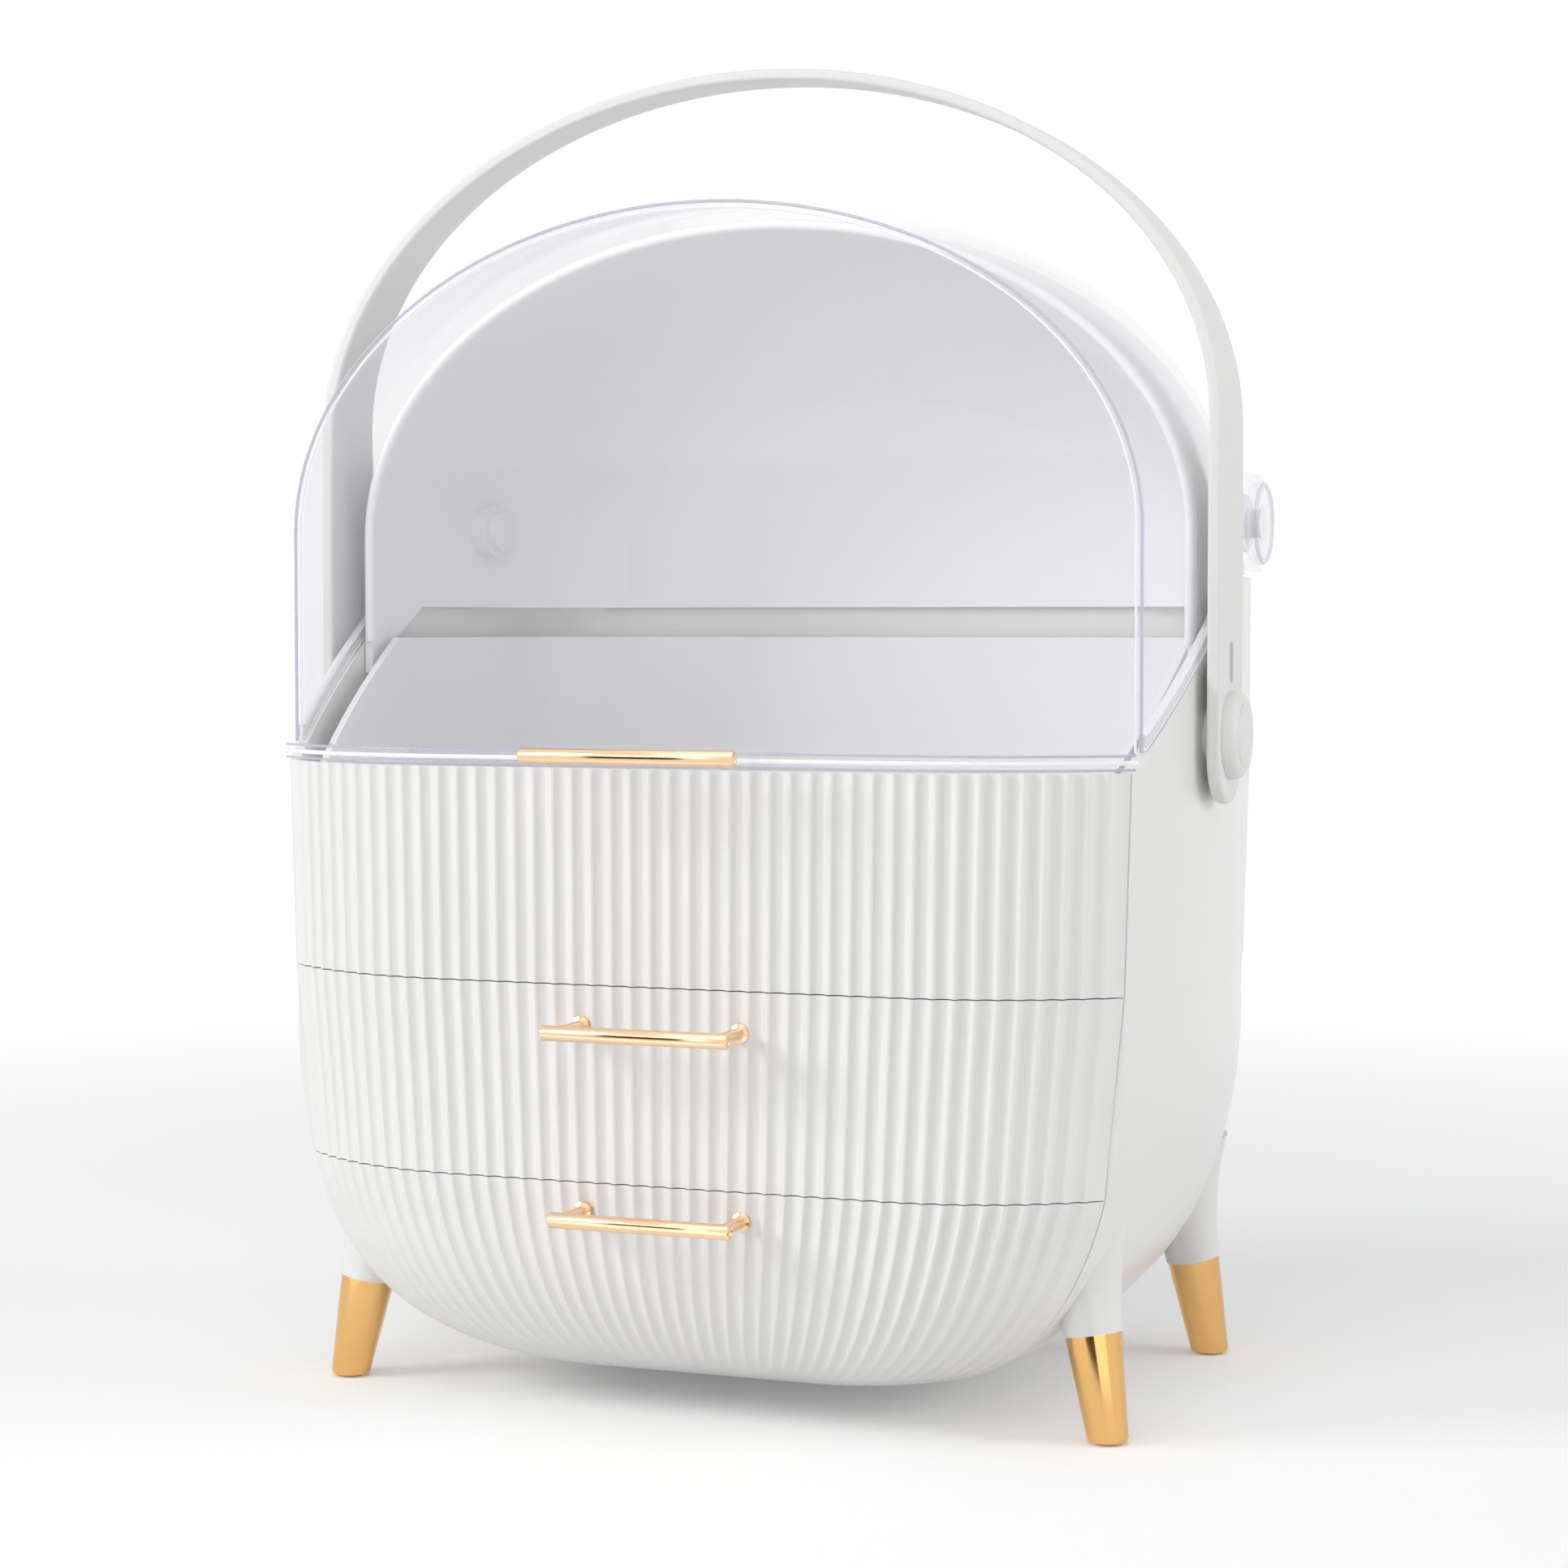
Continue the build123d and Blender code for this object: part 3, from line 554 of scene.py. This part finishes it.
def add_object(name: str, form: bmesh.types.BMesh, material: bpy.types.Material) -> bpy.types.Object:
    """Makes an object of a bmesh, which it frees, and puts it in the scene.

    Args:
        name: Name of the object and its mesh.
        form: The bmesh.
        material: The object's finish.

    Returns:
        The new object.
    """
    mesh = bpy.data.meshes.new(name)
    form.to_mesh(mesh)
    form.free()
    mesh.materials.append(material)
    made = bpy.data.objects.new(name, mesh)
    bpy.context.scene.collection.objects.link(made)
    return made


def dress(nodes: Nodes, names: Sequence[str], material: bpy.types.Material) -> None:
    """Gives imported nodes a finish.

    Args:
        nodes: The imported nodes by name.
        names: The nodes to dress.
        material: Their finish.
    """
    for name in names:
        nodes[name].data.materials.clear()
        nodes[name].data.materials.append(material)
        log.info("dressed %s in %s", name, material.name)


def pair(stem: str) -> list[str]:
    """The left and right nodes of a stem."""
    return [f"{stem}_left", f"{stem}_right"]


def point(x: float, y: float, z: float) -> Vector:
    """A point in metres from millimetres."""
    return Vector((x, y, z)) * MM


@dataclass(frozen=True)
class Outline:
    """Lines of the whole organizer that several sub-assemblies share, in millimetres."""

    face_y: float = -74.5
    middle_y: float = 11.5
    half_width: float = 125.5
    side_radius: float = 290.0
    rim_z: float = 172.0
    crease_y: float = -53.2
    crease_half: float = 118.2
    flat_half: float = 63.0
    rim_slope: float = math.tan(math.radians(31.4))
    rim_back_z: float = 222.0
    spring_z: float = 233.0
    arch_top: float = 319.0
    arch_rise: float = 6.0
    panel_y: float = -48.3
    shell_back_y: float = 29.5
    arch_steps: int = 72
    corner_steps: int = 14

    def half(self, y: float) -> float:
        """Half width of the upper part at a depth."""
        return self.half_width - (y - self.middle_y) ** 2 / (2 * self.side_radius)

    def crown(self, y: float) -> float:
        """Height of the lid's crown at a depth."""
        share = (y - self.panel_y) / (self.shell_back_y - self.panel_y)
        return self.arch_top + self.arch_rise * min(1.0, share)

    def rim(self, y: float) -> float:
        """Height of the case's side rim at a depth."""
        return min(self.rim_back_z, self.rim_z + max(0.0, (y - self.crease_y) * self.rim_slope))

    def arch(self, y: float, inset: float, low: float) -> list[Vector]:
        """Points of an upright arch at a depth, from the lower left to the lower right.

        Args:
            y: Depth of the arch.
            inset: How far it lies inside the lid's outer face.
            low: Height of its two lower ends.

        Returns:
            The points in metres.
        """
        half = self.half(y) - inset
        rise = self.crown(y) - inset - self.spring_z
        turns = [math.pi * (1.0 - step / self.arch_steps) for step in range(self.arch_steps + 1)]
        curve = [point(half * math.cos(turn), y, self.spring_z + rise * math.sin(turn)) for turn in turns]
        return [point(-half, y, low)] + curve + [point(half, y, low)]

    def front(self, out: float, z: float) -> list[Vector]:
        """Points of the case's front line, drawn out by some distance, from left to right.

        Args:
            out: How far outside the front line.
            z: Height of the line.

        Returns:
            The points in metres.
        """
        face = self.face_y - out
        run = self.crease_half + out - self.flat_half
        fall = self.crease_y - face
        radius = (run * run + fall * fall) / (2 * fall)
        end = math.asin(run / radius)
        turns = [end * step / self.corner_steps for step in range(self.corner_steps + 1)]
        curve = [
            (self.flat_half + radius * math.sin(turn), face + radius * (1.0 - math.cos(turn))) for turn in turns
        ]
        left = [point(-x, y, z) for x, y in reversed(curve)]
        return left + [point(x, y, z) for x, y in curve]


OUTLINE = Outline()


# Sub-assemblies


@dataclass
class Case:
    """The fixed case: shell, ribbed band, hood, tray, shelves and feet. Millimetres."""

    finishes: Finishes
    hood_y: float = -2.5
    hood_inset: float = 4.95
    rim_bead: float = 1.45
    rim_low_z: float = 204.0
    bead_sides: int = 14

    def build(self, nodes: Nodes) -> None:
        """Dresses the case's nodes and makes its details."""
        looks = self.finishes
        dress(nodes, ["case_shell", "front_band", "upper_ledges", "middle_ledges", "lower_runners"], looks.case)
        # The hood, shelves and lid pins take the hood's white, which carries painted light.
        dress(nodes, ["back_hood", "upper_shelf", "middle_shelf"] + pair("lid_pin"), looks.hood)
        dress(nodes, ["tray_liner"], looks.liner)
        # The handle pins take the handle's white, darkened as painted shade.
        dress(nodes, pair("handle_pin"), looks.strap)
        dress(nodes, ["foot_studs"], looks.steel)
        dress(nodes, ["foot_pads"], looks.rubber)
        dress(nodes, pair("foot_tip_front") + pair("foot_tip_back"), looks.gold)
        self._hood_rim()

    def _hood_rim(self) -> None:
        """Rounds the hood's front rim with a soft lip."""
        shape = Shape("hood_rim_lip")
        path = OUTLINE.arch(self.hood_y, self.hood_inset, self.rim_low_z)
        shape.tube(path, self.rim_bead * MM, self.rim_bead * MM, BACKWARDS, self.bead_sides)
        shape.settle(Body.CASE, Slot.WHITE, self.finishes.hood)


@dataclass
class Lid:
    """The clear lid: shell, front panel, rim flange, hubs, and lines along its edges that paint highlights and
    refraction shade. Millimetres.
    """

    finishes: Finishes
    arch_depth: float = 0.5
    arch_low_z: float = 176.9
    line_radius: float = 0.42
    glint_radius: float = 0.34
    glint_inset: float = 1.9
    side_start_y: float = -45.6
    side_end_y: float = 48.0
    side_steps: int = 40
    side_gap: float = 0.5
    side_inset: float = 1.1
    side_half: float = 1.25
    side_band_rise: float = 2.0
    side_band_height: float = 1.7
    side_low_rise: float = 0.4
    side_top_rise: float = 3.9
    side_line_height: float = 0.36
    flange_z: float = 174.6
    flange_out: float = 1.6
    nose_inset: float = 0.35
    nose_radius: float = 0.62
    flange_line_rise: float = 1.75
    flange_line_inset: float = 0.75
    flange_line_radius: float = 0.36
    hub_y: float = 62.7
    hub_z: float = 237.0
    hub_radius: float = 11.6
    hub_face: float = 125.66
    hub_rim_inset: float = 0.9
    hub_rim_width: float = 0.75
    hub_rim_height: float = 0.6
    hub_rim_sink: float = 0.35
    hub_rim_sides: int = 12
    hub_steps: int = 48

    def build(self, nodes: Nodes) -> None:
        """Dresses the lid's nodes and makes the lines of painted highlight and painted shade along its edges."""
        dress(nodes, ["lid_shell", "lid_front_panel"] + pair("lid_cap"), self.finishes.clear)
        self._arch_line("lid_arch_edge", self.line_radius, self.line_radius, self.finishes.edge)
        self._arch_line("lid_arch_glint", self.glint_inset, self.glint_radius, self.finishes.painted_highlight)
        self._flange()
        for side in Side:
            self._side_edge(side)
            self._hub(side)

    def _arch_line(self, name: str, inset: float, radius: float, finish: bpy.types.Material) -> None:
        """One line round the front arch: a dark line of painted refraction shade or a pale line of painted highlight.

        Args:
            name: The piece's name.
            inset: How far its middle lies inside the lid's outer face.
            radius: Half its width.
            finish: Its finish.
        """
        shape = Shape(name)
        path = OUTLINE.arch(OUTLINE.panel_y + self.arch_depth, inset, self.arch_low_z)
        shape.tube(path, radius * MM, radius * MM, BACKWARDS)
        shape.settle(Body.LID, Slot.CLEAR, finish)

    def _side_edge(self, side: Side) -> None:
        """Lines along the thick lower edge of one side, up the slope and back to the hub: a lavender band, the
        plastic's tint deepened as painted shade, between two lines of painted highlight.

        Args:
            side: Which side of the lid.
        """
        span = self.side_end_y - self.side_start_y
        depths = [self.side_start_y + span * step / self.side_steps for step in range(self.side_steps + 1)]
        for name, rise, height, finish in (
            ("band", self.side_band_rise, self.side_band_height, self.finishes.band),
            ("lower", self.side_low_rise, self.side_line_height, self.finishes.painted_highlight),
            ("upper", self.side_top_rise, self.side_line_height, self.finishes.painted_highlight),
        ):
            path = [
                point(side.value * (OUTLINE.half(y) - self.side_inset), y, OUTLINE.rim(y) + self.side_gap + rise)
                for y in depths
            ]
            shape = Shape(f"lid_side_{name}_{side.word}")
            shape.tube(path, self.side_half * MM, height * MM, UPWARDS)
            shape.settle(Body.LID, Slot.CLEAR, finish)

    def _flange(self) -> None:
        """The rounded nose of the rim flange, white as a painted highlight, with a dark line of painted refraction
        shade over and under it.
        """
        for name, rise, inset, radius, finish in (
            ("nose", 0.0, self.nose_inset, self.nose_radius, self.finishes.painted_highlight),
            ("top_line", self.flange_line_rise, self.flange_line_inset, self.flange_line_radius, self.finishes.edge),
            ("low_line", -self.flange_line_rise, self.flange_line_inset, self.flange_line_radius, self.finishes.edge),
        ):
            shape = Shape(f"lid_flange_{name}")
            path = OUTLINE.front(self.flange_out - inset, self.flange_z + rise)
            shape.tube(path, radius * MM, radius * MM, UPWARDS)
            shape.settle(Body.LID, Slot.CLEAR, finish)

    def _hub(self, side: Side) -> None:
        """The raised rim of one hub, lavender partly from the plastic's tint and partly as painted refraction shade.

        Args:
            side: Which side of the lid.
        """
        shape = Shape(f"lid_hub_rim_{side.word}")
        turns = [math.tau * step / self.hub_rim_sides for step in range(self.hub_rim_sides + 1)]
        middle = self.hub_radius - self.hub_rim_inset
        profile = [
            (middle + self.hub_rim_width * math.cos(turn), self.hub_rim_height * math.sin(turn)) for turn in turns
        ]
        centre = point(side.value * (self.hub_face - self.hub_rim_sink), self.hub_y, self.hub_z)
        shape.spun(profile, centre, ACROSS * side.value, self.hub_steps)
        shape.settle(Body.LID, Slot.CLEAR, self.finishes.band)


@dataclass
class CarryHandle:
    """The arched strap and its round end caps. Millimetres."""

    finishes: Finishes
    pivot_y: float = 0.7
    pivot_z: float = 180.0
    cap_radius: float = 11.6
    cap_height: float = 4.5
    cap_steps: int = 56
    strap_face: float = 130.6
    cap_profile: Profile = (
        (0.0, 1.0), (0.45, 0.985), (0.62, 0.95), (0.70, 0.90), (0.73, 0.80), (0.76, 0.80), (0.80, 0.86),
        (0.88, 0.78), (0.95, 0.62), (0.99, 0.40), (1.0, 0.18), (1.0, 0.0), (0.0, 0.0),
    )

    def build(self, nodes: Nodes) -> None:
        """Dresses the strap and makes the caps, a domed button inside a groove and a round shoulder."""
        dress(nodes, ["handle_strap"], self.finishes.strap)
        rows = [(radius * self.cap_radius, height * self.cap_height) for radius, height in self.cap_profile]
        for side in Side:
            shape = Shape(f"handle_button_{side.word}")
            centre = point(side.value * self.strap_face, self.pivot_y, self.pivot_z)
            shape.spun(rows, centre, ACROSS * side.value, self.cap_steps)
            shape.settle(Body.HANDLE, Slot.WHITE, self.finishes.strap, f"handle_cap_{side.word}")


@dataclass
class BarPull:
    """A plated bar on two posts, with a thin rim at each end. Millimetres."""

    name: str
    node: str
    body: Body
    finishes: Finishes
    length: float
    bar_y: float
    bar_z: float
    post_end_y: float
    post_radius: float = 1.6
    post_x: float = 22.0
    foot_radius: float = 0.0
    foot_y: float = 0.0
    foot_lead: float = 1.0
    foot_height: float = 0.55
    foot_sink: float = 1.2
    radius: float = 2.0
    end_recess: float = 0.25
    rim_foot: float = 0.75
    rim_inner: float = 0.6
    rim_outer: float = 0.3
    rim_fall: float = 0.4
    bar_steps: int = 40
    post_steps: int = 28

    def build(self) -> None:
        """Makes the bar, its posts and the small foot of each post."""
        shape = Shape(self.name)
        shape.spun(self._bar_profile(), point(0, self.bar_y, self.bar_z), ACROSS, self.bar_steps)
        for side in Side:
            start = point(side.value * self.post_x, self.bar_y, self.bar_z)
            shape.spun(self._post_profile(), start, BACKWARDS, self.post_steps)
        shape.settle(self.body, Slot.ROSE, self.finishes.rose, self.node)

    def _bar_profile(self) -> Profile:
        """Radius and place along the bar, from its left end to its right end."""
        half = self.length / 2
        end = [
            (0.0, half - self.end_recess), (self.radius - self.rim_foot, half - self.end_recess),
            (self.radius - self.rim_inner, half), (self.radius - self.rim_outer, half),
            (self.radius, half - self.rim_fall),
        ]
        return [(radius, -place) for radius, place in end] + end[::-1]

    def _post_profile(self) -> Profile:
        """Radius and place along a post, from the bar's middle backwards."""
        reach = self.post_end_y - self.bar_y
        rows = [(0.0, 0.0), (self.post_radius, 0.0)]
        if self.foot_radius:
            start = self.foot_y - self.bar_y
            rows += [
                (self.post_radius, start - self.foot_lead), (self.foot_radius, start - self.foot_height),
                (self.foot_radius, start + self.foot_sink), (self.post_radius, start + self.foot_sink),
            ]
        return rows + [(self.post_radius, reach), (0.0, reach)]


@dataclass
class Drawer:
    """One drawer: ribbed front, bin, bar pull and the pull's screws. Millimetres."""

    name: str
    body: Body
    finishes: Finishes
    pull_length: float
    pull_y: float
    pull_z: float
    face_y: float
    post_sink: float = 3.4
    foot_radius: float = 2.5

    def build(self, nodes: Nodes) -> None:
        """Dresses the drawer's nodes and makes its pull."""
        dress(nodes, [f"{self.name}_drawer_front"], self.finishes.case)
        dress(nodes, [f"{self.name}_drawer_bin"], self.finishes.liner)
        dress(nodes, [f"{self.name}_pull_screws"], self.finishes.steel)
        BarPull(
            f"{self.name}_bar_pull", f"{self.name}_drawer_pull", self.body, self.finishes,
            length=self.pull_length, bar_y=self.pull_y, bar_z=self.pull_z, post_end_y=self.face_y + self.post_sink,
            foot_radius=self.foot_radius, foot_y=self.face_y,
        ).build()


@dataclass
class Studio:
    """Pale floor, white surroundings, soft lamps and the camera of the photograph. Metres."""

    eye: Triple = (0.32462, -0.8434, 0.20926)
    forward: Triple = (-0.3531, 0.9343, -0.0490)
    lens: float = 75.37
    sensor: float = 36.0
    fill_colour: Colour = (0.98, 0.99, 1.0)
    fill: float = 0.47
    floor_half: float = 14.0
    floor_parts: int = 8
    floor_colour: Colour = (0.86, 0.86, 0.86)
    floor_shade: Colour = (0.85, 0.85, 0.85)
    floor_grain: float = 2.0
    near_lift: float = 0.18
    near_reach: float = 0.28
    far_reach: float = 0.95
    aim: Triple = (0.0, 0.0, 0.16)

    def build(self) -> None:
        """Makes the camera, the world, the floor, the cards for the metal's gloss and the lamps."""
        self._camera()
        self._world()
        self._floor()
        self._card("dark_card", y=-0.6, ends=(-0.4, 0.0), height=0.28, light=0.02)
        self._card("low_dark_card", y=-0.155, ends=(0.068, 0.142), height=0.05, light=0.03)
        self._card("low_pale_card", y=-0.165, ends=(-0.3, 0.34), height=0.06, light=1.6)
        self._lamp("key", place=(-1.6, -1.2, 1.1), size=0.9, power=18.0)
        self._lamp("top", place=(0.1, 0.2, 2.2), size=1.6, power=3.0)
        self._lamp("front", place=(-0.35, -1.7, 0.5), size=1.2, power=4.5)
        self._lamp("side", place=(2.0, 0.3, 0.7), size=1.0, power=12.5)
        self._lamp("hood", place=(0.1, -0.5, 0.75), size=0.5, power=0.9)

    @staticmethod
    def _card(name: str, y: float, ends: tuple[float, float], height: float, light: float) -> None:
        """An upright card on the floor in front, which polished metal shows and nothing else does.

        Args:
            name: The card's name.
            y: Where it stands along Y.
            ends: Where it starts and ends along X.
            height: How high it is.
            light: How bright it is, with 1 as white.
        """
        form = bmesh.new()
        verts = [form.verts.new((x, y, 0.0)) for x in ends]
        grown = bmesh.ops.extrude_edge_only(form, edges=[form.edges.new(verts)])["geom"]
        moved = [part for part in grown if isinstance(part, bmesh.types.BMVert)]
        bmesh.ops.translate(form, vec=(0, 0, height), verts=moved)
        graph = Graph.material(name)
        glow = graph.node("ShaderNodeEmission", {}, {"Strength": light})
        card = add_object(name, form, graph.finish(glow))
        for ray in ("camera", "diffuse", "transmission", "shadow", "volume_scatter"):
            setattr(card, f"visible_{ray}", False)

    def _camera(self) -> None:
        """Makes the camera and makes it the scene's own."""
        data = bpy.data.cameras.new("camera")
        data.lens = self.lens
        data.sensor_width = self.sensor
        camera = bpy.data.objects.new("camera", data)
        camera.location = self.eye
        self._turn(camera, Vector(self.forward))
        bpy.context.scene.camera = camera

    def _world(self) -> None:
        """White where the camera, gloss or clear plastic sees it, and a plain fill elsewhere."""
        graph = Graph(bpy.data.worlds.new("studio"))
        seen = graph.rays(*SHOWN_RAYS)
        shown = graph.node("ShaderNodeBackground", {}, {"Color": WHITE, "Strength": 1.0})
        fill = graph.node("ShaderNodeBackground", {}, {"Color": (*self.fill_colour, 1.0), "Strength": self.fill})
        mix = graph.node("ShaderNodeMixShader", {}, {0: seen, 1: fill, 2: shown})
        bpy.context.scene.world = graph.finish(mix, "ShaderNodeOutputWorld")

    def _floor(self) -> None:
        """A wide pale floor that shows white far off and keeps the shadow near the organizer."""
        form = bmesh.new()
        bmesh.ops.create_grid(form, x_segments=self.floor_parts, y_segments=self.floor_parts, size=self.floor_half)
        graph = Graph.material("floor_white")
        seen = graph.rays(*SHOWN_RAYS)
        tone = graph.blend(graph.noise(self.floor_grain), self.floor_colour, self.floor_shade)
        matte = graph.node("ShaderNodeBsdfDiffuse", {}, {"Color": tone})
        lift = graph.node("ShaderNodeEmission", {}, {"Color": WHITE, "Strength": self.near_lift * seen})
        near = graph.node("ShaderNodeAddShader", {}, {0: matte, 1: lift})
        white = graph.node("ShaderNodeEmission", {}, {"Color": WHITE, "Strength": 1.0})
        reach = graph.node("ShaderNodeVectorMath", {"operation": "LENGTH"}, {0: graph.place()}, "Value")
        far = graph.node(
            "ShaderNodeMapRange", {"interpolation_type": "SMOOTHSTEP"},
            {"Value": reach, "From Min": self.near_reach, "From Max": self.far_reach},
        )
        mix = graph.node("ShaderNodeMixShader", {}, {0: far * seen, 1: near, 2: white})
        add_object("floor", form, graph.finish(mix))

    def _lamp(self, name: str, place: Triple, size: float, power: float) -> None:
        """A square soft lamp that points at the organizer's middle.

        Args:
            name: The lamp's name.
            place: Where it stands.
            size: Length of its side.
            power: Its power in watts.
        """
        data = bpy.data.lights.new(name, "AREA")
        data.size = size
        data.energy = power
        lamp = bpy.data.objects.new(name, data)
        lamp.location = place
        self._turn(lamp, Vector(self.aim) - Vector(place))

    @staticmethod
    def _turn(thing: bpy.types.Object, way: Vector) -> None:
        """Turns a camera or lamp to look along a direction and puts it in the scene."""
        thing.rotation_mode = "QUATERNION"
        thing.rotation_quaternion = way.to_track_quat("-Z", "Y")
        bpy.context.scene.collection.objects.link(thing)


def main() -> None:
    """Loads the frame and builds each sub-assembly."""
    logging.basicConfig(level=logging.INFO, format="%(name)s: %(message)s")
    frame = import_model()
    bpy.context.scene.view_settings.view_transform = "Standard"
    nodes = frame["nodes"]
    Studio().build()
    finishes = Finishes()
    Case(finishes).build(nodes)
    Lid(finishes).build(nodes)
    CarryHandle(finishes).build(nodes)
    Drawer("middle", Body.MIDDLE, finishes, pull_length=51.0, pull_y=-90.8, pull_z=105.5, face_y=-74.5).build(nodes)
    Drawer("lower", Body.LOWER, finishes, pull_length=49.6, pull_y=-88.02, pull_z=57.3, face_y=-73.62).build(nodes)
    BarPull(
        "lid_bar_pull", "lid_pull", Body.LID, finishes,
        length=58.0, bar_y=-95.5, bar_z=175.9, post_end_y=-87.5, post_radius=1.0,
    ).build()


if __name__ == "__main__":
    main()
